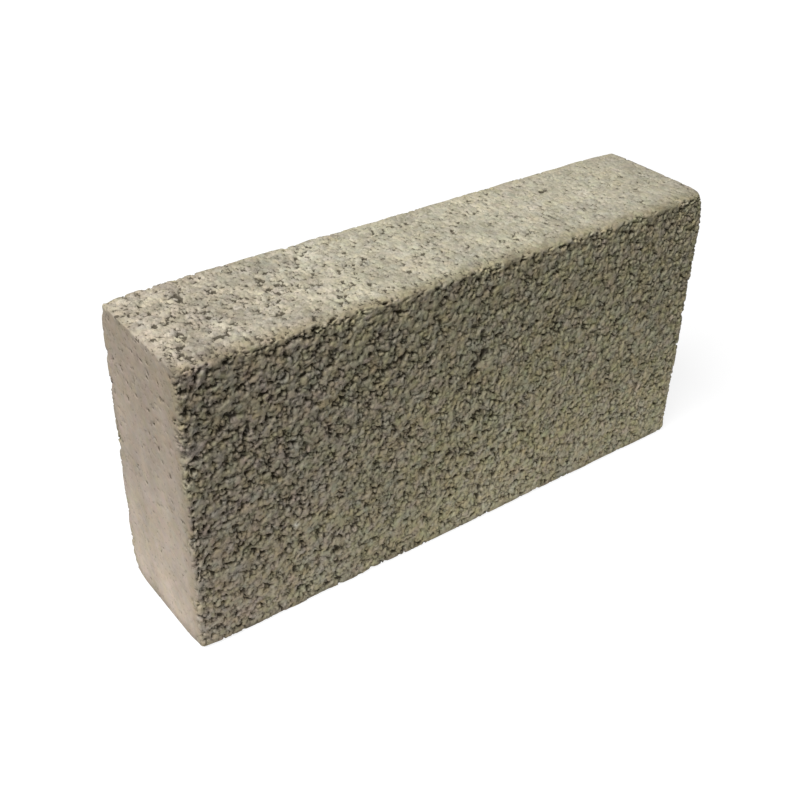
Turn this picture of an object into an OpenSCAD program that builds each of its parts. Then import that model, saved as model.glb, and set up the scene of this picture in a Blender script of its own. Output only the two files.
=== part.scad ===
// Solid concrete walling block, pressed in one piece.
// It stands on a bed face, as it is laid. Millimetres, +Z up.
// X runs along the course, the front open face looks along -Y,
// and the origin is in the middle of the lower bed face.

/* [Block] */
// Length of the block along the course
block_length = 440; // [290:5:600]
// Height of the block between its two bed faces
block_height = 215; // [140:5:290]
// Thickness of the block between its two open faces
block_thickness = 100; // [75:5:215]

/* [Arrises] */
// Radius of the arrises between the open faces and the beds
bed_arris = 3.5; // [1:0.5:8]
// Radius of the arrises between the open faces and the ends
jamb_arris = 3; // [1:0.5:8]
// Radius of the arrises between the beds and the ends
mould_arris = 2; // [1:0.5:8]

/* [Worn corners] */
// How much of the tip is gone from the corner that took a hard knock
hard_knock = 4.5; // [2:0.1:5]
// How much of the tip is gone from a corner that was rubbed in handling
rubbed_tip = 2.6; // [2:0.1:5]
// Radius of the ball that a worn corner is rounded to
corner_ball = 24; // [23:1:60]

/* [Hidden] */

$fn = 64;

// How far a cutting shape reaches past the faces that it cuts
overcut = 5;

// Half of the block each way, from its middle to a corner
half_block = [block_length, block_thickness, block_height] / 2;

// The corner that took a hard knock is on the right, at the front, on top
knocked_corner = [1, -1, 1];

// How far in from a corner's three faces the ball's centre lies,
// so that the ball stops short of the corner by the worn tip
function ball_inset(worn_tip) = (corner_ball + worn_tip) / sqrt(3);

// How far from its centre, along an edge of the corner, the ball crosses that edge
function edge_crossing(worn_tip) = sqrt(corner_ball ^ 2 - 2 * ball_inset(worn_tip) ^ 2);

// Rectangle with round corners, centred on the origin
module rounded_rectangle(width, depth, radius) {
    square([width - 2 * radius, depth], center = true);
    square([width, depth - 2 * radius], center = true);
    for (side_x = [-1, 1], side_y = [-1, 1])
        translate([side_x * (width / 2 - radius), side_y * (depth / 2 - radius)])
            circle(r = radius);
}

// Bar along Z with four round arrises, centred on the origin
module rounded_bar(width, depth, length, radius) {
    translate([0, 0, -length / 2])
        linear_extrude(height = length)
            rounded_rectangle(width, depth, radius);
}

// The block as it left the mould, with its twelve arrises, centred on the origin
module pressed_block() {
    intersection() {
        // arrises that run along the course
        rotate([90, 0, 90])
            rounded_bar(block_thickness, block_height, block_length, bed_arris);
        // upright arrises
        rounded_bar(block_length, block_thickness, block_height, jamb_arris);
        // arrises that run through the thickness
        rotate([90, 0, 0])
            rounded_bar(block_length, block_height, block_thickness, mould_arris);
    }
}

// What wear takes off one corner: all that lies past the ball, in a cube that reaches
// halfway from where the ball crosses the corner's edges to the ball's centre
module worn_off(side, worn_tip) {
    inset = ball_inset(worn_tip);
    reach = inset - edge_crossing(worn_tip) / 2;
    translate([for (axis = [0:2]) side[axis] * half_block[axis]])
        difference() {
            translate(side * (overcut - reach) / 2)
                cube(overcut + reach, center = true);
            translate(-side * inset)
                sphere(r = corner_ball);
        }
}

module block() {
    color([0.62, 0.59, 0.53])
        translate([0, 0, half_block.z])
            difference() {
                pressed_block();
                for (side_x = [-1, 1], side_y = [-1, 1], side_z = [-1, 1]) {
                    side = [side_x, side_y, side_z];
                    worn_off(side, side == knocked_corner ? hard_knock : rubbed_tip);
                }
            }
}

block();
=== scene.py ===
"""Open-textured concrete walling block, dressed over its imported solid.

The block is pressed in one piece. Three closed meshes stand for it, because its grains need a fine
mesh: the body, with its two beds and its two ends, and the front and back open faces. They meet
along the arrises at vertices in the same places, and all of them take their relief from one field
of grains in space, so that no joint shows.
"""

import itertools
import math

import bmesh
import bpy
import numpy as np
from bpy.props import FloatProperty, FloatVectorProperty, IntProperty, PointerProperty
from mathutils import Matrix, Vector


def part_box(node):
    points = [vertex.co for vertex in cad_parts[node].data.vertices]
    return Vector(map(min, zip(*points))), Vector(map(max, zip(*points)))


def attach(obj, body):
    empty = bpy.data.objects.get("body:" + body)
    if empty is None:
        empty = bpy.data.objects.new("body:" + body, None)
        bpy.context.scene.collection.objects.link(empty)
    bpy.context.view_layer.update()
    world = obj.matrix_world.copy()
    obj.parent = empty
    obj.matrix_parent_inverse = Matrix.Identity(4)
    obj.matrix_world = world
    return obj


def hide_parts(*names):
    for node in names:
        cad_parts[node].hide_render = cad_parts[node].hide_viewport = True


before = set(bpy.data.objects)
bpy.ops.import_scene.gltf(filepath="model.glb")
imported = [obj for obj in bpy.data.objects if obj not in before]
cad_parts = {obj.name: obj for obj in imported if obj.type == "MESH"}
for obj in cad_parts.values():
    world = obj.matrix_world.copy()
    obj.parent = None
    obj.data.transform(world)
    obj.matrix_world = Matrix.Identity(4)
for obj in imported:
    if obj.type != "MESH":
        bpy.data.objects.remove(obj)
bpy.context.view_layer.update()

bl_info = {
    "name": "Concrete block",
    "version": (1, 0, 0),
    "blender": (4, 5, 0),
    "location": "View3D > Sidebar > Block",
    "description": "Builds an open-textured concrete walling block and its studio",
    "category": "Add Mesh",
}

MM = 0.001
NODE = "block"
BODY = "root"
CONCRETE = "pressed concrete"

LOW, HIGH = (np.array(corner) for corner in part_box(NODE))
CENTRE = (LOW + HIGH) / 2
HALF = (HIGH - LOW) / 2
LENGTH, THICKNESS, HEIGHT = HIGH - LOW

# The corner that took a hard knock is on the right, at the front, on top
KNOCKED_CORNER = (1, -1, 1)
# How wide the turn of the outward direction is at the arrises
TURN_RADIUS = 6 * MM
# Each piece goes on under its neighbour in two hidden rings, sunk this far
UNDERLAP = (0.3 * MM, 6 * MM)
# The map that the faces are laid out flat on, the share of it for hidden caps, and the margin of each strip
# of the body
BAKE_MAP = "OFBake"
CAP_STRIP = 0.01
STRIP_MARGIN = 0.005

# Random numbers of the endless lattices that noise and grains are drawn on
TABLE_SIZE = 65521
LATTICE_STEPS = np.array((7919, 104729, 31))
# Gives soft noise a spread of about 1
NOISE_GAIN = 1.56
# How far round a point its nearest grains are looked for, in lattice cells
GRAIN_REACH = (-2, -1, 0, 1, 2)
# How far the middle of a grain stays from the walls of its lattice cell, in cells
GRAIN_MARGIN = 0.1
# Largest head start of a big grain over a small one, as a share of the spacing
BIG_GRAIN = 0.33
BIG_GRAIN_RARITY = 2.0
# How far, and over what distance, the outline of a grain wanders
OUTLINE_BENDS = ((0.9 * MM, 4 * MM), (0.45 * MM, 2 * MM))
# Usual slope of a grain, and how deep the lowest grains sit
GRAIN_TILT = 0.1
GRAIN_SINK = 0.38 * MM
GRAIN_SINK_RARITY = 1.6
# Rounding of a grain from its middle to its rim
GRAIN_ROUNDING = 0.5 * MM
GRAIN_ROUNDING_WIDTH = 2.0 * MM
# How much deeper or shallower the voids and crevices run, and over what distance
VOID_MEAN = 0.68
VOID_CHANGE = 0.5
VOID_CHANGE_SIZE = 2.8 * MM
DEEPEST_CHANGE = 2.0
# From the rim of the hole that a missing grain leaves to its full depth
HOLE_BOWL = 1.4 * MM
# Heights and sizes of the fine lumps on the grains
FINE_RELIEFS = ((0.16 * MM, 3.2 * MM), (0.08 * MM, 2.2 * MM))
# How softly the paste meets the grains, and how its level changes from place to place
PASTE_SOFTNESS = 0.12 * MM
PASTE_CHANGE = 0.14 * MM
PASTE_CHANGE_SIZE = 15 * MM
# The paste on the left of a bed is patchier
BED_PASTE_CHANGE = 0.5 * MM
BED_PASTE_CHANGE_SIZE = 7 * MM

# The ragged border between an open face and the paste of the beds and ends, and how soft it is in
# shape and in colour
BORDER_RAGGED = ((2.4 * MM, 13 * MM), (2.2 * MM, 4.8 * MM))
BORDER_SOFTNESS = 1.5 * MM
TINT_SOFTNESS = 2.5 * MM
# How far the paste of an end, a face and a bed reaches round the arris of an open face
PASTE_REACH = np.array((-5.3, 0, 0.8)) * MM
PASTE_REACH_FADE = 8 * MM
# Keeps the split between an end and a bed from dividing by nothing in the middle of a face
LEAST_PART = 0.01
# The band of fat paste along the arrises of a bed, and how its colour comes and goes
FAT_BAND = 6 * MM
FAT_PASTE = 0.8 * MM
FAT_MEAN = 0.5
FAT_CHANGE = 0.35
FAT_CHANGE_SIZE = 11 * MM
# The upper front arris is worn more than in the solid, and the other arrises of the beds and the upper
# left one are sharper
ARRIS_WEAR = 1.2 * MM
ARRIS_WEAR_REACH = 5 * MM
ARRIS_WEAR_CHANGE = 0.7
ARRIS_WEAR_CHANGE_SIZE = 16 * MM
ARRIS_WEAR_LIMITS = (0.2, 2.5)
OTHER_WEAR = -0.4
LEFT_WEAR = -1.0
# What wear takes off some of the corners past the solid's rounding
CORNER_WEAR = {
    KNOCKED_CORNER: 2.0 * MM,
    (1, 1, 1): 0.9 * MM,
    (-1, 1, 1): 1.8 * MM,
    (-1, 1, -1): 2.0 * MM,
    (-1, -1, -1): 1.5 * MM,
}
CORNER_WEAR_SIZE = 11 * MM
# How much shallower the pits of an end are than those of the rest, and how much less paste its top has
END_FLATNESS = 0.5
END_TOP_OPEN = 0.8 * MM
# Chips of the upright arrises, where a noise rises past its threshold
CHIP_DEPTH = 1.5 * MM
CHIP_THRESHOLD = 0.3
CHIP_SIZE = 8 * MM
CHIP_REACH = 3 * MM

# The upper left of the front is the most open, and it closes up over this distance
OPEN_CORNER = np.array((-LENGTH / 2, -THICKNESS / 2, HEIGHT / 2))
OPEN_CORNER_EXTRA = 0.15
OPEN_CORNER_SIZE = 110 * MM
# A row of deep hollows and a pale stone on the front, measured from its left end and its top
HOLLOWS_AT = ((229 * MM, 65.5 * MM), (228 * MM, 69 * MM), (222.5 * MM, 73 * MM), (219.5 * MM, 80 * MM))
HOLLOW_SIZE = 2.3 * MM
HOLLOW_DEPTH = 4.0 * MM
FLECK_AT = (74.5 * MM, 144 * MM)
FLECK_SIZE = 2.1 * MM
# A patch of painted light low on the front, measured in the same way
PAINTED_LIGHT_PATCH = 0.18
PAINTED_LIGHT_AT = (246 * MM, 195 * MM)
PAINTED_LIGHT_SIZE = 55 * MM

# How much the shade changes from place to place: broad clouds, patches, grain by grain, and in upright
# streaks on an end
CLOUDS = ((0.024, 60 * MM), (0.012, 30 * MM))
PATCHES = ((0.05, 16 * MM), (0.045, 8 * MM), (0.017, 4 * MM))
GRAIN_SHADES = 0.34
STREAKS = 0.045
STREAK_SIZE = 9 * MM
STREAK_SHAPE = (1, 1, 0.12)
# How much livelier the clouds are on an end, and how much calmer the patches and the grains are on an
# end, on an open face and along a bed
END_CLOUDS = 0.8
END_CALM = 0.6
FACE_CALM = 0.75
FACE_PATCH_CALM = 0.85
BED_CALM_LEFT = -0.55
BED_CALM_RIGHT = 0.3
BED_GRAIN_CALM = 0.6
# Painted light: the front grows paler towards the right, and an end towards the floor
FACE_PAINTED_LIGHT = 0.24
END_PAINTED_LIGHT = 0.12
# A bed is paler and fatter along its left end, but darker farther round it. It is darker at its right
# and paler at the back
BED_PALE = 0.25
BED_PALE_SIZE = 13 * MM
BED_PALE_PASTE = 1.0 * MM
BED_LEFT_DARK = 0.12
BED_LEFT_DARK_SIZE = 150 * MM
BED_DARK = 0.18
BED_DARK_SIZE = 28 * MM
BED_BACK_PALE = 0.14
# Painted shade in a ragged line along the upper left arris, over its lit rounding, and how much of it is
# left halfway to the back
EDGE_PAINTED_SHADE = 0.38
EDGE_SHADE_SIZE = 2.8 * MM
EDGE_SHADE_HALFWAY = 0.55
EDGE_RAGGED = 1.2 * MM
EDGE_RAGGED_SIZE = 10 * MM
# Painted shade along the floor on every side, reaching farther up an end
FOOT_PAINTED_SHADE = 0.42
FOOT_SHADE_SIZE = 3.5 * MM
END_FOOT_SHADE_SIZE = 8.5 * MM
# The stain of a bed or an end along the front, and of an end towards its top
STAIN_NEAR = 1 * MM
STAIN_FAR = 15 * MM
END_STAIN = 0.75
END_TOP_STAIN = 0.5
# How much the hue changes from green to red and from blue to yellow, in patches and grain by grain
WARMTHS = ((0.03, 22 * MM), (0.06, 10 * MM), (0.1, 5 * MM))
GRAIN_WARMTH = 0.5
YELLOWS = ((0.03, 22 * MM), (0.07, 10 * MM), (0.14, 5 * MM))
GRAIN_YELLOW = 0.6
# Mixes two random numbers of a grain into a third one
YELLOW_DRAW = np.array((7.3, 3.1))

# In the material, three numbers in a row are for a bed, an end and an open face, and two numbers are
# for the left and the right of the block or for the two ends of a range

# Colour filters at the two ends of each scale of hues, and how strongly they act
HUE_FILTERS = {
    "warm": ((0.94, 1.025, 1.0), (1.06, 0.975, 0.99)),
    "yellow": ((0.99, 1.0, 1.13), (1.01, 1.0, 0.87)),
}
HUE_STRENGTHS = {"warm": (0.6, 0.6, 1), "yellow": (0.5, 0.5, 1)}
# How much of its own colour fat paste has, and how much of an end's colour the left of the block has
FAT_TINT = 0.45
LEFT_TINT = 0.45
LEFT_TINT_SIZE = 200 * MM
# Sand: its grading, its change of shade and its height in the bump
SAND_SIZE = 1.6 * MM
SAND_DETAIL = 2
SAND_ROUGHNESS = 0.65
SAND_SHADES = (0.2, 0.05, 0.12)
SAND_HEIGHTS = (0.2, 0.2, 0.6)
# Crumbs: how far their outlines wander, and their heights on a bed and on an open face
CRUMB_SIZE = 2.5 * MM
CRUMB_BEND = 0.8
BED_CRUMBS = (1.3, 0.8)
FACE_CRUMB_EXTRA = 0.25
# Gaps between the crumbs: how ragged they are, and how much shade is painted into them on a bed and on an
# open face
GAP_RAGGED = 0.8
GAP_RAGGED_SIZE = 3.5 * MM
GAP_RANGE = (0.95, 1.31)
BED_GAP_SHADE = 0.3
FACE_GAP_SHADE = 0.82
# Small pits: where their noise makes them, how many show, and how dark the shade painted into them and the
# gaps is
SPECK_SIZE = 2.4 * MM
SPECK_RANGE = (0.21, 0.4)
SPECK_SHARES = (1, 0.4, 0.3)
SPECKS_ALONG = (1.25, 0.65)
PIT_AND_GAP_SHADE = 0.7
# Painted shade in the hollows: how much their depth counts, from where to where the shade grows, and how
# dark it is
HOLLOW_WEIGHTS = (1.9, 2.0, 1.0)
BED_HOLLOW_START = 0.35
HOLLOW_RANGE = (0.9, 2.5)
HOLLOW_PAINTED_SHADES = (0.88, 0.72, 0.72)
BUMP_STRENGTH = 0.55
BUMP_DISTANCE = 0.5 * MM
ROUGHNESS = 0.94
SPECULAR_LEVEL = 0.25
# Sockets of a Mix node for colours
MIX_SHARE, MIX_FIRST, MIX_SECOND = 0, 6, 7
MIX_RESULT = 2

# The floor in metres, and how far below the block it lies
FLOOR_SIZE = 8.0
FLOOR_DROP = 0.2 * MM
# How much of the floor's brightness is plain white to the camera; the rest keeps the shadow
FLOOR_WHITE = 0.75
FLOOR_GLOW = 1.15
# From here to there the shadow fades out, so that no horizon shows
WHITE_NEAR = 0.6
WHITE_FAR = 1.4
# The floor throws light back only as far as a sheet of paper under the block would
FLOOR_PALE = 0.95
SHEET_NEAR = 0.2
SHEET_FAR = 0.55
# Direction and distance of the lamp from the middle of the block, and its width
KEY_FROM = Vector((-0.6, -0.17, 1))
KEY_DISTANCE = 3.2
KEY_SIZE = 1.8
# Width of the camera's sensor in millimetres, and the nearest that it sees
SENSOR_WIDTH = 36
NEAR_CLIP = 10 * MM


class BlockShape(bpy.types.PropertyGroup):
    """Rounding of the block's arrises and corners, as in its solid"""

    bed_arris: FloatProperty(
        name="Bed arris", description="Radius of the arrises between the faces and the beds",
        default=3.5 * MM, min=0, unit="LENGTH")
    jamb_arris: FloatProperty(
        name="Jamb arris", description="Radius of the arrises between the faces and the ends",
        default=3 * MM, min=0, unit="LENGTH")
    mould_arris: FloatProperty(
        name="Mould arris", description="Radius of the arrises between the beds and the ends",
        default=2 * MM, min=0, unit="LENGTH")
    hard_knock: FloatProperty(
        name="Hard knock", description="How much of the tip the knocked corner has lost",
        default=4.5 * MM, min=0, unit="LENGTH")
    rubbed_tip: FloatProperty(
        name="Rubbed tip", description="How much of the tip every other corner has lost",
        default=2.6 * MM, min=0, unit="LENGTH")
    corner_ball: FloatProperty(
        name="Corner ball", description="Radius of the ball that a worn corner is rounded to",
        default=24 * MM, min=0, unit="LENGTH")


class GrainTexture(bpy.types.PropertyGroup):
    """Grains, crevices, holes and paste of the concrete"""

    along_step: FloatProperty(
        name="Step along", description="Spacing of the mesh along and up the block",
        default=1.04 * MM, min=0.5 * MM, unit="LENGTH")
    across_step: FloatProperty(
        name="Step across", description="Spacing of the mesh through the thickness",
        default=1.37 * MM, min=0.5 * MM, unit="LENGTH")
    spacing: FloatProperty(
        name="Grain spacing", description="Usual distance between the middles of two grains",
        default=3.45 * MM, min=2 * MM, unit="LENGTH")
    crevice_depth: FloatProperty(
        name="Crevice depth", description="Usual depth of the crevice between two grains",
        default=0.4 * MM, min=0, unit="LENGTH")
    crevice_width: FloatProperty(
        name="Crevice width", description="From the middle of a crevice to its rim",
        default=0.8 * MM, min=0.1 * MM, unit="LENGTH")
    void_depth: FloatProperty(
        name="Void depth", description="Usual depth of the void where three grains meet",
        default=2.7 * MM, min=0, unit="LENGTH")
    void_width: FloatProperty(
        name="Void width", description="From the middle of a void to its rim",
        default=0.8 * MM, min=0.1 * MM, unit="LENGTH")
    hole_share: FloatProperty(
        name="Hole share", description="Share of the grains that are missing", default=0.01, min=0, max=1)
    hole_depth: FloatProperty(
        name="Hole depth", description="Depth of the hole that a missing grain leaves",
        default=2.6 * MM, min=0, unit="LENGTH")
    face_paste: FloatProperty(
        name="Face paste", description="Cement paste that fills the crevices of an open face",
        default=0.3 * MM, unit="LENGTH")
    left_paste: FloatProperty(
        name="Left bed paste", description="Cement paste on the left of a bed",
        default=1.0 * MM, unit="LENGTH")
    right_paste: FloatProperty(
        name="Right bed paste", description="Cement paste on the right of a bed",
        default=1.8 * MM, unit="LENGTH")
    end_paste: FloatProperty(
        name="End paste", description="Cement paste on an end", default=3.5 * MM, unit="LENGTH")
    seed: IntProperty(
        name="Seed", description="Picks another scatter of grains", default=4)


class ConcreteColours(bpy.types.PropertyGroup):
    """Colours of the concrete, and the colour of the shade painted into its hollows"""

    bed: FloatVectorProperty(
        name="Bed", description="Pressed beds", subtype="COLOR", default=(0.509, 0.471, 0.36))
    end: FloatVectorProperty(
        name="End", description="Smooth ends", subtype="COLOR", default=(0.492, 0.416, 0.336))
    face: FloatVectorProperty(
        name="Open face", description="Open-textured faces", subtype="COLOR",
        default=(0.414, 0.375, 0.254))
    arris: FloatVectorProperty(
        name="Arris", description="Fat paste along the bed arrises", subtype="COLOR",
        default=(0.5, 0.43, 0.28))
    # Painted shade: the colour that the bottoms of hollows and pits are darkened towards
    hollow_shade: FloatVectorProperty(
        name="Hollow", description="Dark bottoms of hollows and pits", subtype="COLOR",
        default=(0.06, 0.05, 0.032))
    stain: FloatVectorProperty(
        name="Stain", description="Stain along the arrises of a bed or an end, as a filter",
        subtype="COLOR", default=(0.79, 0.76, 0.67))
    fleck: FloatVectorProperty(
        name="Fleck", description="Pale stone", subtype="COLOR", default=(0.95, 0.91, 0.78))


class StudioSettings(bpy.types.PropertyGroup):
    """Camera and light"""

    azimuth: FloatProperty(
        name="Azimuth", description="Turn of the camera round the block",
        default=math.radians(-37.74), subtype="ANGLE")
    elevation: FloatProperty(
        name="Elevation", description="Height of the camera above the horizon",
        default=math.radians(33.75), subtype="ANGLE")
    roll: FloatProperty(
        name="Roll", description="Turn of the camera about its own line of sight",
        default=math.radians(1.70), subtype="ANGLE")
    distance: FloatProperty(
        name="Distance", description="From the camera to the point that it looks at",
        default=824.6 * MM, unit="LENGTH")
    lens: FloatProperty(
        name="Lens", description="Focal length on a 36 mm wide sensor", default=51.44, unit="CAMERA")
    aim: FloatVectorProperty(
        name="Aim", description="Point that the camera looks at", subtype="TRANSLATION",
        default=(-24.75 * MM, 0, 95.7 * MM))
    key_power: FloatProperty(
        name="Key power", description="Power of the large soft lamp", default=115, unit="POWER")
    sky: FloatProperty(
        name="Sky", description="Strength of the light from all round", default=0.1, min=0)


def smooth_step(low, high, value):
    """0 up to low, 1 from high on, and a soft rise between them."""
    share = np.clip((value - low) / (high - low), 0, 1)
    return share * share * (3 - 2 * share)


def fade(distance, size):
    """1 at no distance, and softly down to 0 past the size."""
    return np.exp(-(distance / size) ** 2)


def from_left(points):
    """How far along the block each point lies, from 0 at its left end to 1 at its right one."""
    return np.clip(points[:, 0] / LENGTH + 0.5, 0, 1)


def from_floor(points):
    """How high up the block each point lies, from 0 at its lower bed to 1 at its upper one."""
    return np.clip(points[:, 2] / HEIGHT + 0.5, 0, 1)


def table_rows(cells):
    """The row of the random tables that each lattice cell reads."""
    return (cells @ LATTICE_STEPS) % TABLE_SIZE


class GrainField:
    """Grains and soft noise that fill space, the same for each piece that samples them."""

    def __init__(self, seed):
        self.rng = np.random.default_rng(seed)
        self.grain_draws = self.rng.random((TABLE_SIZE, 4))
        self.grain_tilts = self.rng.normal(0, GRAIN_TILT, (TABLE_SIZE, 3))
        self.grain_facts = self.rng.random((TABLE_SIZE, 4))
        self.noises = {}

    def noise(self, name, points, size):
        """Soft noise of unit spread whose lumps are about as wide as size. Each name is another noise."""
        if name not in self.noises:
            self.noises[name] = self.rng.standard_normal(TABLE_SIZE) * NOISE_GAIN
        place = points / size
        home = np.floor(place).astype(int)
        share = smooth_step(0, 1, place - home)
        total = np.zeros(len(points))
        for corner in itertools.product((0, 1), repeat=3):
            weight = np.prod(np.where(corner, share, 1 - share), axis=1)
            total += weight * self.noises[name][table_rows(home + corner)]
        return total

    def noises_together(self, name, points, parts):
        """Sum of several noises, each given by its height and its size."""
        return sum(height * self.noise(f"{name} {size}", points, size) for height, size in parts)

    def bend(self, points):
        """Moves points about, so that the outlines of grains wander."""
        bends = [self.noises_together(f"bend {axis}", points, OUTLINE_BENDS) for axis in "xyz"]
        return points + np.stack(bends, axis=1)

    def grains(self, points, spacing):
        """For each point: the distance to the next grain and to where a third one meets them, its place
        on its own grain, and which grain that is."""
        home = np.floor(points / spacing).astype(int)
        first, second, third = np.full((3, len(points)), np.inf)
        place = np.zeros_like(points)
        which = np.zeros(len(points), int)
        for offset in itertools.product(GRAIN_REACH, repeat=3):
            cells = home + offset
            rows = table_rows(cells)
            draws = self.grain_draws[rows]
            in_cell = GRAIN_MARGIN + (1 - 2 * GRAIN_MARGIN) * draws[:, :3]
            from_middle = points - (cells + in_cell) * spacing
            head_start = BIG_GRAIN * spacing * draws[:, 3] ** BIG_GRAIN_RARITY
            gap = np.linalg.norm(from_middle, axis=1) - head_start
            closer = gap < first
            third = np.minimum(third, np.maximum(second, gap))
            second = np.minimum(second, np.maximum(first, gap))
            first = np.minimum(first, gap)
            place[closer] = from_middle[closer]
            which[closer] = rows[closer]
        return (second - first) / 2, (third - first) / 2, place, which


def rounded(points, shape):
    """Moves points of the sharp box onto the block's rounded arrises and worn corners."""
    points = points.copy()
    for axes, radius in (
        ([1, 2], shape.bed_arris),
        ([0, 1], shape.jamb_arris),
        ([0, 2], shape.mould_arris),
    ):
        inner = HALF[axes] - radius
        core = np.clip(points[:, axes], -inner, inner)
        out = points[:, axes] - core
        reach = np.maximum(np.linalg.norm(out, axis=1), radius)
        points[:, axes] = core + out * (radius / reach)[:, None]
    for side in np.array(list(itertools.product((-1, 1), repeat=3))):
        worn = shape.hard_knock if tuple(side) == KNOCKED_CORNER else shape.rubbed_tip
        ball = side * (HALF - (shape.corner_ball + worn) / math.sqrt(3))
        out = points - ball
        reach = np.linalg.norm(out, axis=1)
        past = (out * side > 0).all(axis=1) & (reach > shape.corner_ball)
        points[past] = ball + out[past] * (shape.corner_ball / reach[past])[:, None]
    return points


def outward(points):
    """Direction out of the block, turning smoothly round its arrises."""
    core = np.clip(points, TURN_RADIUS - HALF, HALF - TURN_RADIUS)
    out = points - core
    return out / np.linalg.norm(out, axis=1)[:, None]


def side_shares(field, points, softness):
    """How much of each point belongs to an end, a face and a bed. The open faces have ragged borders."""
    away = HALF - np.abs(points)
    away -= PASTE_REACH * fade(away[:, 1:2], PASTE_REACH_FADE)
    away[:, 1] += field.noises_together("ragged", points, BORDER_RAGGED)
    weight = np.exp((away.min(axis=1)[:, None] - away) / softness)
    return weight / weight.sum(axis=1)[:, None]


def front_spot(points, place, size):
    """1 at a place on the front, measured from its left end and its top, and 0 past its size."""
    middle = np.array((place[0] - LENGTH / 2, -THICKNESS / 2, HEIGHT / 2 - place[1]))
    return fade(np.linalg.norm(points - middle, axis=1), size)


def openness(points):
    """How open the texture is: most at the upper left of the front."""
    from_corner = np.linalg.norm(points - OPEN_CORNER, axis=1)
    return 1 + OPEN_CORNER_EXTRA * fade(from_corner, OPEN_CORNER_SIZE)


def grain_gaps(field, points, grain, rim, junction, missing):
    """How deep the crevices, voids and holes between the grains are."""
    change = VOID_MEAN + VOID_CHANGE * field.noise("void", points, VOID_CHANGE_SIZE)
    change = np.clip(change, 0, DEEPEST_CHANGE) * openness(points)
    gap = change * grain.crevice_depth * (1 - smooth_step(0, grain.crevice_width, rim))
    gap += change * grain.void_depth * (1 - smooth_step(0, grain.void_width, junction))
    gap += np.where(missing, grain.hole_depth * smooth_step(0, HOLE_BOWL, rim), 0)
    return gap + HOLLOW_DEPTH * sum(front_spot(points, place, HOLLOW_SIZE) for place in HOLLOWS_AT)


def paste_level(field, points, grain, shares, near_arris):
    """How far up the grains the cement paste reaches."""
    along = from_left(points)
    bed_paste = grain.left_paste + (grain.right_paste - grain.left_paste) * along
    end_paste = grain.end_paste - END_TOP_OPEN * from_floor(points)
    paste = shares[:, 0] * end_paste + shares[:, 1] * grain.face_paste + shares[:, 2] * bed_paste
    paste += FAT_PASTE * near_arris
    paste += BED_PALE_PASTE * shares[:, 2] * fade(points[:, 0] + HALF[0], BED_PALE_SIZE)
    paste += PASTE_CHANGE * field.noise("paste", points, PASTE_CHANGE_SIZE)
    patchy = BED_PASTE_CHANGE * shares[:, 2] * (1 - along)
    return paste + patchy * field.noise("paste", points, BED_PASTE_CHANGE_SIZE)


def wear(field, points):
    """How much is worn or chipped off the arrises and the corners past the solid's rounding."""
    away = HALF - np.abs(points)
    left, front, upper = points[:, 0] < 0, points[:, 1] < 0, points[:, 2] > 0
    share = np.where(front & upper, 1, OTHER_WEAR) * np.exp(-(away[:, 1] + away[:, 2]) / ARRIS_WEAR_REACH)
    share += np.where(left & upper, LEFT_WEAR, 0) * np.exp(-(away[:, 0] + away[:, 2]) / ARRIS_WEAR_REACH)
    change = 1 + ARRIS_WEAR_CHANGE * field.noise("wear", points, ARRIS_WEAR_CHANGE_SIZE)
    worn = ARRIS_WEAR * share * np.clip(change, *ARRIS_WEAR_LIMITS)
    for corner, tip in CORNER_WEAR.items():
        worn += tip * fade(np.linalg.norm(points - HALF * corner, axis=1), CORNER_WEAR_SIZE)
    chip = np.maximum(field.noise("chip", points, CHIP_SIZE) - CHIP_THRESHOLD, 0)
    return worn + CHIP_DEPTH * chip * np.exp(-(away[:, 0] + away[:, 1]) / CHIP_REACH)


def relief(field, points, grain):
    """How deep the surface lies at each point, and what the material needs to know there."""
    rim, junction, on_grain, which = field.grains(field.bend(points), grain.spacing)
    facts = field.grain_facts[which]
    shares = side_shares(field, points, BORDER_SOFTNESS)
    away = HALF - np.abs(points)
    near_arris = fade(away[:, 1] + away[:, 2], FAT_BAND) * np.sqrt(shares[:, 2])

    missing = facts[:, 1] < grain.hole_share * openness(points)
    gap = grain_gaps(field, points, grain, rim, junction, missing)
    depth = gap + GRAIN_ROUNDING * (1 - smooth_step(0, GRAIN_ROUNDING_WIDTH, rim))
    depth += GRAIN_SINK * facts[:, 0] ** GRAIN_SINK_RARITY
    depth += (on_grain * field.grain_tilts[which]).sum(axis=1)
    depth += field.noises_together("fine", points, FINE_RELIEFS)
    paste = paste_level(field, points, grain, shares, near_arris)
    depth = PASTE_SOFTNESS * np.logaddexp(0, (depth - paste) / PASTE_SOFTNESS)
    pit = np.minimum(depth, gap) / MM
    depth = depth * (1 - END_FLATNESS * shares[:, 0]) + wear(field, points)

    tints = side_shares(field, points, TINT_SOFTNESS)
    open_face = tints[:, 1]
    end = tints[:, 0] / np.maximum(tints[:, 0] + tints[:, 2], LEAST_PART)
    fat = FAT_MEAN + FAT_CHANGE * field.noise("fat", points, FAT_CHANGE_SIZE)
    yellow = facts[:, 2:] @ YELLOW_DRAW % 1
    return depth, {
        # How deep the pits are; the material paints shade into them by it
        "depth": pit,
        "open": open_face,
        "end": end,
        "fat": near_arris * np.clip(fat, 0, 1),
        "fleck": front_spot(points, FLECK_AT, FLECK_SIZE),
        "stain": stained(points, open_face, end),
        # Tone, with painted light and painted shade
        "shade": tone_with_painted_light_and_shade(field, points, facts[:, 2], open_face, end),
        "warm": hue_change(field, "warm", points, WARMTHS, GRAIN_WARMTH * (facts[:, 3] - 0.5)),
        "yellow": hue_change(field, "yellow", points, YELLOWS, GRAIN_YELLOW * (yellow - 0.5)),
    }


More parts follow.
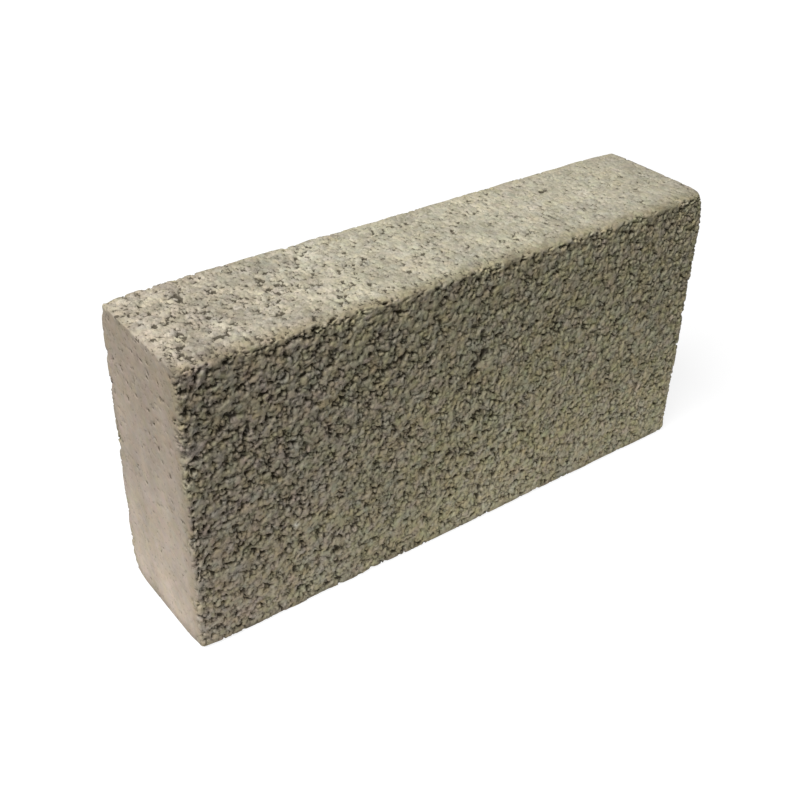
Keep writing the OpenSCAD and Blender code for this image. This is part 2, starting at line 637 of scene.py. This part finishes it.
def stained(points, open_face, end):
    """How stained a bed or an end is: along the front, and on the top of an end."""
    stain = 1 - smooth_step(STAIN_NEAR, STAIN_FAR, points[:, 1] + HALF[1])
    stain += END_TOP_STAIN * end * smooth_step(-HALF[2] / 2, HALF[2], points[:, 2])
    return stain * (1 - open_face) * (1 + (END_STAIN - 1) * end)


def hue_change(field, name, points, parts, by_grain):
    """Where each point lies on a scale of hues whose middle is 0.5."""
    return 0.5 + by_grain + field.noises_together(name, points, parts)


def tone_with_painted_light_and_shade(field, points, tone, open_face, end):
    """How much paler or darker each point is than the colour of its side: its own tone, with painted light
    and painted shade.
    """
    on_end = end * (1 - open_face)
    on_bed = (1 - end) * (1 - open_face)
    along = from_left(points)
    away = HALF - np.abs(points)

    shade = 1 + (1 + END_CLOUDS * on_end) * field.noises_together("cloud", points, CLOUDS)
    bed_calm = (BED_CALM_LEFT + (BED_CALM_RIGHT - BED_CALM_LEFT) * along) * on_bed
    patch_calm = END_CALM * on_end + FACE_PATCH_CALM * open_face + bed_calm
    shade += (1 - patch_calm) * field.noises_together("patch", points, PATCHES)
    grain_calm = END_CALM * on_end + FACE_CALM * open_face + BED_GRAIN_CALM * bed_calm
    shade += (1 - grain_calm) * GRAIN_SHADES * (tone - 0.5)
    shade += STREAKS * on_end * field.noise("streak", points * STREAK_SHAPE, STREAK_SIZE)

    # Painted light: paler to the right of the front, in a patch low on it, and towards the floor on an end
    shade += FACE_PAINTED_LIGHT * open_face * along
    shade += PAINTED_LIGHT_PATCH * front_spot(points, PAINTED_LIGHT_AT, PAINTED_LIGHT_SIZE)
    shade += END_PAINTED_LIGHT * on_end * (1 - from_floor(points))
    shade += BED_PALE * on_bed * fade(points[:, 0] + HALF[0], BED_PALE_SIZE)
    shade -= BED_LEFT_DARK * on_bed * fade(points[:, 0] + HALF[0], BED_LEFT_DARK_SIZE)
    shade -= BED_DARK * on_bed * fade(points[:, 0] - HALF[0], BED_DARK_SIZE)
    shade += BED_BACK_PALE * on_bed * points[:, 1] / THICKNESS

    # Painted shade along the upper left arris, over the rounding that the lamp lights
    from_edge = away[:, 0] + away[:, 2] + EDGE_RAGGED * field.noise("edge", points, EDGE_RAGGED_SIZE)
    edge = fade(np.maximum(from_edge, 0), EDGE_SHADE_SIZE) * (1 - open_face)
    edge *= np.clip(EDGE_SHADE_HALFWAY - points[:, 1] / THICKNESS, 0, 1)
    shade -= EDGE_PAINTED_SHADE * np.where((points[:, 0] < 0) & (points[:, 2] > 0), edge, 0)
    # Painted shade along the floor, under the lower arrises
    foot_shade_size = FOOT_SHADE_SIZE + (END_FOOT_SHADE_SIZE - FOOT_SHADE_SIZE) * on_end
    foot_shade = fade(away[:, 2] + away[:, :2].min(axis=1), foot_shade_size)
    return shade - FOOT_PAINTED_SHADE * np.where(points[:, 2] < 0, foot_shade, 0)


def edges_along(bm, axis):
    """Edges of the mesh that run along X, Y or Z."""
    found = []
    for edge in bm.edges:
        run = edge.verts[0].co - edge.verts[1].co
        if abs(run[axis]) > run.length / 2:
            found.append(edge)
    return found


def extrude_rim(bm, rim, move):
    """Extrudes open edges by one ring, moves the new vertices and returns the new rim."""
    made = bmesh.ops.extrude_edge_only(bm, edges=rim)["geom"]
    for vertex in (part for part in made if isinstance(part, bmesh.types.BMVert)):
        vertex.co += move
    return [part for part in made if isinstance(part, bmesh.types.BMEdge) and part.is_boundary]


def close_rim(bm, rim, move):
    """Adds the two hidden rings that go under the next piece, and closes them."""
    for _ in UNDERLAP:
        rim = extrude_rim(bm, rim, move)
    bmesh.ops.edgeloop_fill(bm, edges=rim)


def new_piece(name, bm):
    """Turns a bmesh into a smooth-shaded object of the scene."""
    bmesh.ops.recalc_face_normals(bm, faces=bm.faces)
    mesh = bpy.data.meshes.new(name)
    bm.to_mesh(mesh)
    bm.free()
    mesh.shade_smooth()
    piece = bpy.data.objects.new(name, mesh)
    bpy.context.scene.collection.objects.link(piece)
    return piece


def mesh_places(mesh):
    """The vertices of a mesh as an array."""
    places = np.empty(len(mesh.vertices) * 3)
    mesh.vertices.foreach_get("co", places)
    return places.reshape(-1, 3)


def press_mesh(mesh, points, ring, settings):
    """Gives a mesh its rounded shape and its relief. Points lie on the sharp box round its middle,
    and ring says which of the hidden rings each one is in."""
    field = GrainField(settings.block_grain.seed)
    points = rounded(points, settings.block_shape)
    depth, facts = relief(field, points, settings.block_grain)
    depth = depth + np.array((0, *UNDERLAP))[ring]
    pressed = np.clip(points - outward(points) * depth[:, None], -HALF, HALF)
    mesh.vertices.foreach_set("co", (pressed + CENTRE).astype(np.float32).ravel())
    for name, values in facts.items():
        attribute = mesh.attributes.new(name, "FLOAT", "POINT")
        attribute.data.foreach_set("value", values.astype(np.float32))
    mesh.update()


def loop_facts(mesh):
    """For each corner of each face: its vertex, its face and how many corners that face has. Only the
    hidden caps have more than four."""
    vertex = np.empty(len(mesh.loops), np.int32)
    mesh.loops.foreach_get("vertex_index", vertex)
    count = np.empty(len(mesh.polygons), np.int32)
    mesh.polygons.foreach_get("loop_total", count)
    return vertex, np.repeat(np.arange(len(count)), count), np.repeat(count, count)


def set_bake_map(mesh, across, up, cap):
    """Lays the faces out flat. The hidden caps go into a narrow strip at the side."""
    u = across * (1 - CAP_STRIP)
    u[cap] = 1 - CAP_STRIP / 2 + (across[cap] - 0.5) * CAP_STRIP / 2
    places = np.stack([u, up], axis=1).astype(np.float32)
    mesh.uv_layers.new(name=BAKE_MAP).uv.foreach_set("vector", places.ravel())


def finish_piece(piece, material):
    """Gives a piece its material and ties it to the block."""
    piece.data.materials.append(material)
    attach(piece, BODY)


def build_open_face(name, facing, settings, material):
    """One open-textured face: a grid whose rim goes on under the body."""
    grain = settings.block_grain
    columns = round(LENGTH / grain.along_step)
    rows = round(HEIGHT / grain.along_step)
    bm = bmesh.new()
    bmesh.ops.create_grid(bm, x_segments=columns, y_segments=rows, size=0.5)
    close_rim(bm, [edge for edge in bm.edges if edge.is_boundary], Vector((0, 0, -1)))
    piece = new_piece(name, bm)
    mesh = piece.data

    grid = mesh_places(mesh)
    ring = np.rint(-grid[:, 2]).astype(int)
    # The hidden rings lie one step of the body's mesh behind the rim
    step = THICKNESS / round(THICKNESS / grain.across_step)
    folded = np.where(ring > 0, step, 0)
    points = np.stack([grid[:, 0] * LENGTH, folded - THICKNESS / 2, grid[:, 1] * HEIGHT], axis=1)
    if facing > 0:
        points *= (-1, -1, 1)
    press_mesh(mesh, points, ring, settings)

    vertex, _, corners = loop_facts(mesh)
    room = 1 + 2 * len(UNDERLAP) / rows
    laid = (grid[:, :2] * (1 + 2 * ring[:, None] / rows) / room + 0.5)[vertex]
    set_bake_map(mesh, laid[:, 0], laid[:, 1], corners > 4)
    finish_piece(piece, material)


def build_body(name, settings, material):
    """Beds and ends: a tube of four walls whose two rims go on under the open faces."""
    grain = settings.block_grain
    bm = bmesh.new()
    bmesh.ops.create_cube(bm, size=1)
    open_sides = [face for face in bm.faces if abs(face.normal.y) > 0.5]
    bmesh.ops.delete(bm, geom=open_sides, context="FACES_ONLY")
    steps = (grain.along_step, grain.across_step, grain.along_step)
    counts = [round(size / step) for size, step in zip((LENGTH, THICKNESS, HEIGHT), steps)]
    for axis, count in enumerate(counts):
        bmesh.ops.subdivide_edges(bm, edges=edges_along(bm, axis), cuts=count - 1)
    for side in (-1, 1):
        rim = [edge for edge in bm.edges if edge.is_boundary and edge.verts[0].co.y * side > 0]
        close_rim(bm, rim, Vector((0, side, 0)))
    piece = new_piece(name, bm)
    mesh = piece.data

    grid = mesh_places(mesh)
    ring = np.rint(np.abs(grid[:, 1]) - 0.5).clip(0).astype(int)
    # The hidden rings lie one step of the mesh in from the rim
    inward = np.where(ring > 0, 2 / counts[2], 0)
    y = np.clip(grid[:, 1], -0.5, 0.5)
    points = np.stack([grid[:, 0], y, grid[:, 2]], axis=1) * (LENGTH, THICKNESS, HEIGHT)
    points[:, [0, 2]] *= (1 - inward)[:, None]
    press_mesh(mesh, points, ring, settings)

    breadth = counts[1] + 2 * len(UNDERLAP)
    across = (y * counts[1] + np.sign(y) * ring) / breadth + 0.5
    lay_out_body(mesh, grid, across)
    finish_piece(piece, material)
    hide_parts(NODE)


def lay_out_body(mesh, grid, across):
    """Lays the upper bed, the lower bed and the two ends out in three strips."""
    vertex, face, corners = loop_facts(mesh)
    middle = np.zeros((len(mesh.polygons), 3))
    np.add.at(middle, face, grid[vertex] / corners[:, None])
    on_end = (np.abs(middle[:, 0]) > np.abs(middle[:, 2]))[face]
    upper = (middle[:, 2] > 0)[face]
    right = (middle[:, 0] > 0)[face]
    share = HEIGHT / LENGTH
    on_strip = np.where(right, 1 - share * (0.5 - grid[vertex, 2]), share * (grid[vertex, 2] + 0.5))
    u = np.where(on_end, np.clip(on_strip, 0, 1), grid[vertex, 0] + 0.5)
    strip = np.where(on_end, 2, np.where(upper, 0, 1))
    up = strip + STRIP_MARGIN + (1 - 2 * STRIP_MARGIN) * across[vertex]
    set_bake_map(mesh, u, up / 3, corners > 4)


class Value:
    """A number or colour that a node gives, so that shader maths reads as plain expressions."""

    def __init__(self, nodes, socket):
        self.nodes = nodes
        self.socket = socket

    def math(self, operation, first, second):
        """Adds one Math node."""
        return self.nodes.add("ShaderNodeMath", {"operation": operation}, {0: first, 1: second})

    def __add__(self, other):
        return self.math("ADD", self, other)

    def __radd__(self, other):
        return self.math("ADD", other, self)

    def __sub__(self, other):
        return self.math("SUBTRACT", self, other)

    def __rsub__(self, other):
        return self.math("SUBTRACT", other, self)

    def __mul__(self, other):
        return self.math("MULTIPLY", self, other)

    def __rmul__(self, other):
        return self.math("MULTIPLY", other, self)

    def larger(self, other):
        """The larger of two numbers."""
        return self.math("MAXIMUM", self, other)


class NodeSheet:
    """The nodes of one material or world."""

    def __init__(self, owner):
        owner.use_nodes = True
        self.tree = owner.node_tree
        self.tree.nodes.clear()

    def add(self, kind, settings=None, sockets=None, output=0):
        """Adds a node, sets it up, then fills or links its sockets. Returns one of its outputs."""
        node = self.tree.nodes.new(kind)
        for name, value in (settings or {}).items():
            setattr(node, name, value)
        for name, value in (sockets or {}).items():
            if isinstance(value, Value):
                self.tree.links.new(value.socket, node.inputs[name])
            else:
                node.inputs[name].default_value = value
        return Value(self, node.outputs[output]) if node.outputs else None

    def mix(self, share, first, second, blend="MIX"):
        """Mixes two colours."""
        first, second = (c if isinstance(c, Value) else (*c, 1) for c in (first, second))
        settings = {"data_type": "RGBA", "blend_type": blend, "clamp_factor": True}
        sockets = {MIX_SHARE: share, MIX_FIRST: first, MIX_SECOND: second}
        return self.add("ShaderNodeMix", settings, sockets, MIX_RESULT)

    def noise(self, place, size, detail=1.0, roughness=0.5):
        """Soft noise from 0 to 1 whose lumps are about as wide as size."""
        sockets = {"Vector": place, "Scale": 1 / size, "Detail": detail, "Roughness": roughness}
        return self.add("ShaderNodeTexNoise", None, sockets)

    def crumbs(self, place, size):
        """Distance from the middles of crumbs about as far apart as size, in sizes."""
        bend = self.add("ShaderNodeTexNoise", None, {"Vector": place, "Scale": 1 / size}, "Color")
        sockets = {0: bend, "Scale": size * CRUMB_BEND}
        bend = self.add("ShaderNodeVectorMath", {"operation": "SCALE"}, sockets)
        place = self.add("ShaderNodeVectorMath", {"operation": "ADD"}, {0: place, 1: bend})
        return self.add("ShaderNodeTexVoronoi", None, {"Vector": place, "Scale": 1 / size}, "Distance")

    def spread(self, value, low, high):
        """Stretches a value so that low becomes 0 and high 1, with soft ends."""
        sockets = {"Value": value, "From Min": low, "From Max": high}
        return self.add("ShaderNodeMapRange", {"interpolation_type": "SMOOTHSTEP"}, sockets)

    def attribute(self, name):
        """A number stored at the vertices."""
        return self.add("ShaderNodeAttribute", {"attribute_name": name}, None, "Fac")


class ConcreteSheet(NodeSheet):
    """The nodes of the concrete, which know what side of the block each point is on."""

    def __init__(self, material):
        super().__init__(material)
        self.place = self.add("ShaderNodeTexCoord", None, None, "Object")
        self.along = self.add("ShaderNodeSeparateXYZ", None, {0: self.place}, "X")
        self.to_right = self.spread(self.along, -LENGTH / 2, LENGTH / 2)
        self.end = self.attribute("end")
        self.open_face = self.attribute("open")
        self.on_end = self.end * (1 - self.open_face)
        self.on_bed = (1 - self.open_face) * (1 - self.on_end)

    def by_side(self, bed, end, face):
        """A number that differs between the beds, the ends and the open faces."""
        return bed + (end - bed) * self.on_end + (face - bed) * self.open_face

    def along_block(self, left, right):
        """A number that changes from the left of the block to its right."""
        return left + (right - left) * self.to_right


def side_colour(nodes, colours):
    """The colours of the sides, with fat paste along the arrises, changes of hue and stains."""
    colour = nodes.mix(nodes.end, colours.bed, colours.end)
    colour = nodes.mix(nodes.open_face, colour, colours.face)
    colour = nodes.mix(nodes.attribute("fat") * FAT_TINT, colour, colours.arris)
    past_left = nodes.spread(nodes.along, -LENGTH / 2, LEFT_TINT_SIZE - LENGTH / 2)
    colour = nodes.mix(LEFT_TINT * (1 - past_left), colour, colours.end)
    for scale, filters in HUE_FILTERS.items():
        hue = nodes.mix(nodes.attribute(scale), *filters)
        colour = nodes.mix(nodes.by_side(*HUE_STRENGTHS[scale]), colour, hue, "MULTIPLY")
    colour = nodes.mix(nodes.attribute("stain"), colour, colours.stain, "MULTIPLY")
    return nodes.mix(nodes.attribute("fleck"), colour, colours.fleck)


def hollows(nodes):
    """How much shade is painted into the hollows between the grains."""
    pit = nodes.attribute("depth") * nodes.by_side(*HOLLOW_WEIGHTS) - BED_HOLLOW_START * nodes.on_bed
    return nodes.spread(pit, *HOLLOW_RANGE) * nodes.by_side(*HOLLOW_PAINTED_SHADES)


def shaded_pits_and_gaps(nodes, crumb):
    """Small pits, and the gaps between the crumbs. The material paints shade into them by this, and sinks
    them in the bump.
    """
    speck = 1 - nodes.spread(nodes.noise(nodes.place, SPECK_SIZE), *SPECK_RANGE)
    speck = speck * nodes.by_side(*SPECK_SHARES) * nodes.along_block(*SPECKS_ALONG)
    ragged = GAP_RAGGED * nodes.noise(nodes.place, GAP_RAGGED_SIZE)
    gap = nodes.spread(crumb + ragged, *GAP_RANGE)
    return speck + gap * (FACE_GAP_SHADE * nodes.open_face + BED_GAP_SHADE * nodes.on_bed)


def concrete_material(colours):
    """Cement paste and grains: tinted by side, mottled, with painted light and painted shade, shade painted
    into its hollows, pits and crumb gaps, and sandy to the touch.
    """
    material = bpy.data.materials.new(CONCRETE)
    nodes = ConcreteSheet(material)
    sand = nodes.noise(nodes.place, SAND_SIZE, SAND_DETAIL, SAND_ROUGHNESS)
    crumb = nodes.crumbs(nodes.place, CRUMB_SIZE)
    speck = shaded_pits_and_gaps(nodes, crumb)

    # The stored shade is each point's tone with its painted light and painted shade; sand adds to it
    shade = nodes.attribute("shade") + (sand - 0.5) * nodes.by_side(*SAND_SHADES)
    grey = nodes.add("ShaderNodeCombineColor", None, {"Red": shade, "Green": shade, "Blue": shade})
    colour = nodes.mix(1.0, side_colour(nodes, colours), grey, "MULTIPLY")
    # Painted shade in the hollows, the small pits and the gaps between the crumbs
    painted_shade = hollows(nodes).larger(speck * PIT_AND_GAP_SHADE)
    colour = nodes.mix(painted_shade, colour, colours.hollow_shade)

    crumbly = nodes.open_face + nodes.on_bed * nodes.along_block(*BED_CRUMBS)
    crumbly = crumbly * (1 + FACE_CRUMB_EXTRA * nodes.open_face)
    bump = nodes.add("ShaderNodeBump", None, {
        "Strength": BUMP_STRENGTH, "Distance": BUMP_DISTANCE,
        "Height": sand * nodes.by_side(*SAND_HEIGHTS) - speck - crumb * crumbly})
    shader = nodes.add("ShaderNodeBsdfPrincipled", None, {
        "Base Color": colour, "Roughness": ROUGHNESS, "Specular IOR Level": SPECULAR_LEVEL, "Normal": bump})
    nodes.add("ShaderNodeOutputMaterial", None, {"Surface": shader})
    return material


def shared_concrete(scene):
    """The one concrete that all the pieces share."""
    return bpy.data.materials.get(CONCRETE) or concrete_material(scene.block_colours)


def seen_directly(nodes):
    """1 for rays from the camera, straight, mirrored or through glass, and 0 for light."""
    straight, mirrored, through = (
        nodes.add("ShaderNodeLightPath", None, None, name)
        for name in ("Is Camera Ray", "Is Glossy Ray", "Is Transmission Ray"))
    return straight.larger(mirrored.larger(through))


def build_floor():
    """A pale floor, white to the camera, that keeps the block's soft shadow."""
    bm = bmesh.new()
    bmesh.ops.create_grid(bm, x_segments=1, y_segments=1, size=FLOOR_SIZE / 2)
    bmesh.ops.translate(bm, verts=bm.verts, vec=(0, 0, LOW[2] - FLOOR_DROP))
    floor = new_piece("floor", bm)
    material = bpy.data.materials.new("pale floor")
    nodes = NodeSheet(material)
    place = nodes.add("ShaderNodeTexCoord", None, None, "Object")
    away = nodes.add("ShaderNodeVectorMath", {"operation": "LENGTH"}, {0: place}, "Value")
    seen = seen_directly(nodes)
    past_sheet = nodes.spread(away, SHEET_NEAR, SHEET_FAR) * (1 - seen)
    pale = nodes.mix(past_sheet, (FLOOR_PALE,) * 3, (0, 0, 0))
    matt = nodes.add("ShaderNodeBsdfDiffuse", None, {"Color": pale})
    white = nodes.add("ShaderNodeEmission", None, {"Color": (1, 1, 1, 1), "Strength": FLOOR_GLOW})
    whiteness = FLOOR_WHITE + (1 - FLOOR_WHITE) * nodes.spread(away, WHITE_NEAR, WHITE_FAR)
    mixed = nodes.add("ShaderNodeMixShader", None, {0: seen * whiteness, 1: matt, 2: white})
    nodes.add("ShaderNodeOutputMaterial", None, {"Surface": mixed})
    floor.data.materials.append(material)


def build_sky(strength):
    """Even light from all round, and a white backdrop behind the floor."""
    world = bpy.data.worlds.new("studio")
    nodes = NodeSheet(world)
    seen = seen_directly(nodes)
    light = nodes.add("ShaderNodeBackground", None, {
        "Color": (1, 1, 1, 1), "Strength": strength + (1 - strength) * seen})
    nodes.add("ShaderNodeOutputWorld", None, {"Surface": light})
    bpy.context.scene.world = world


def build_key(power):
    """One large soft lamp, high on the left."""
    lamp = bpy.data.lights.new("softbox", "AREA")
    lamp.shape = "SQUARE"
    lamp.size = KEY_SIZE
    lamp.energy = power
    light = bpy.data.objects.new("softbox", lamp)
    light.location = Vector(CENTRE) + KEY_FROM.normalized() * KEY_DISTANCE
    light.rotation_mode = "QUATERNION"
    light.rotation_quaternion = KEY_FROM.to_track_quat("Z", "Y")
    bpy.context.scene.collection.objects.link(light)


def build_camera(studio):
    """The camera, at the photograph's viewing angle."""
    data = bpy.data.cameras.new("camera")
    data.lens = studio.lens
    data.sensor_width = SENSOR_WIDTH
    data.clip_start = NEAR_CLIP
    camera = bpy.data.objects.new("camera", data)
    turn, tilt = studio.azimuth, studio.elevation
    back = Vector((math.sin(turn) * math.cos(tilt), -math.cos(turn) * math.cos(tilt), math.sin(tilt)))
    right = Vector((0, 0, 1)).cross(back).normalized()
    up = back.cross(right)
    level = Matrix((right, up, back)).transposed().to_4x4()
    level.translation = Vector(studio.aim) + back * studio.distance
    camera.matrix_world = level @ Matrix.Rotation(studio.roll, 4, "Z")
    bpy.context.scene.collection.objects.link(camera)
    bpy.context.scene.camera = camera


class OBJECT_OT_block_body(bpy.types.Operator):
    """Build the beds and ends of the block"""

    bl_idname = "object.block_body"
    bl_label = "Block body"

    def execute(self, context):
        build_body("block_body", context.scene, shared_concrete(context.scene))
        return {"FINISHED"}


class OBJECT_OT_block_faces(bpy.types.Operator):
    """Build the two open-textured faces of the block"""

    bl_idname = "object.block_faces"
    bl_label = "Open faces"

    def execute(self, context):
        for name, facing in (("front_face", -1), ("back_face", 1)):
            build_open_face(name, facing, context.scene, shared_concrete(context.scene))
        return {"FINISHED"}


class SCENE_OT_block_studio(bpy.types.Operator):
    """Set up the floor, the light and the camera"""

    bl_idname = "scene.block_studio"
    bl_label = "Studio"

    def execute(self, context):
        studio = context.scene.block_studio
        build_floor()
        build_sky(studio.sky)
        build_key(studio.key_power)
        build_camera(studio)
        context.scene.view_settings.view_transform = "Standard"
        return {"FINISHED"}


class VIEW3D_PT_block(bpy.types.Panel):
    """Lists the block's sizes, colours and operators"""

    bl_label = "Concrete block"
    bl_space_type = "VIEW_3D"
    bl_region_type = "UI"
    bl_category = "Block"

    def draw(self, context):
        for group in GROUPS:
            settings = getattr(context.scene, group)
            for name in settings.bl_rna.properties.keys():
                if name not in ("rna_type", "name"):
                    self.layout.prop(settings, name)
        for operator in OPERATORS:
            self.layout.operator(operator.bl_idname)


GROUPS = {
    "block_shape": BlockShape,
    "block_grain": GrainTexture,
    "block_colours": ConcreteColours,
    "block_studio": StudioSettings,
}
OPERATORS = (OBJECT_OT_block_body, OBJECT_OT_block_faces, SCENE_OT_block_studio)


def register():
    for cls in (*GROUPS.values(), *OPERATORS, VIEW3D_PT_block):
        bpy.utils.register_class(cls)
    for name, group in GROUPS.items():
        setattr(bpy.types.Scene, name, PointerProperty(type=group))


def unregister():
    for name in GROUPS:
        delattr(bpy.types.Scene, name)
    for cls in (VIEW3D_PT_block, *reversed(OPERATORS), *reversed(GROUPS.values())):
        bpy.utils.unregister_class(cls)


def main():
    register()
    bpy.ops.object.block_body()
    bpy.ops.object.block_faces()
    bpy.ops.scene.block_studio()


if __name__ == "__main__":
    main()
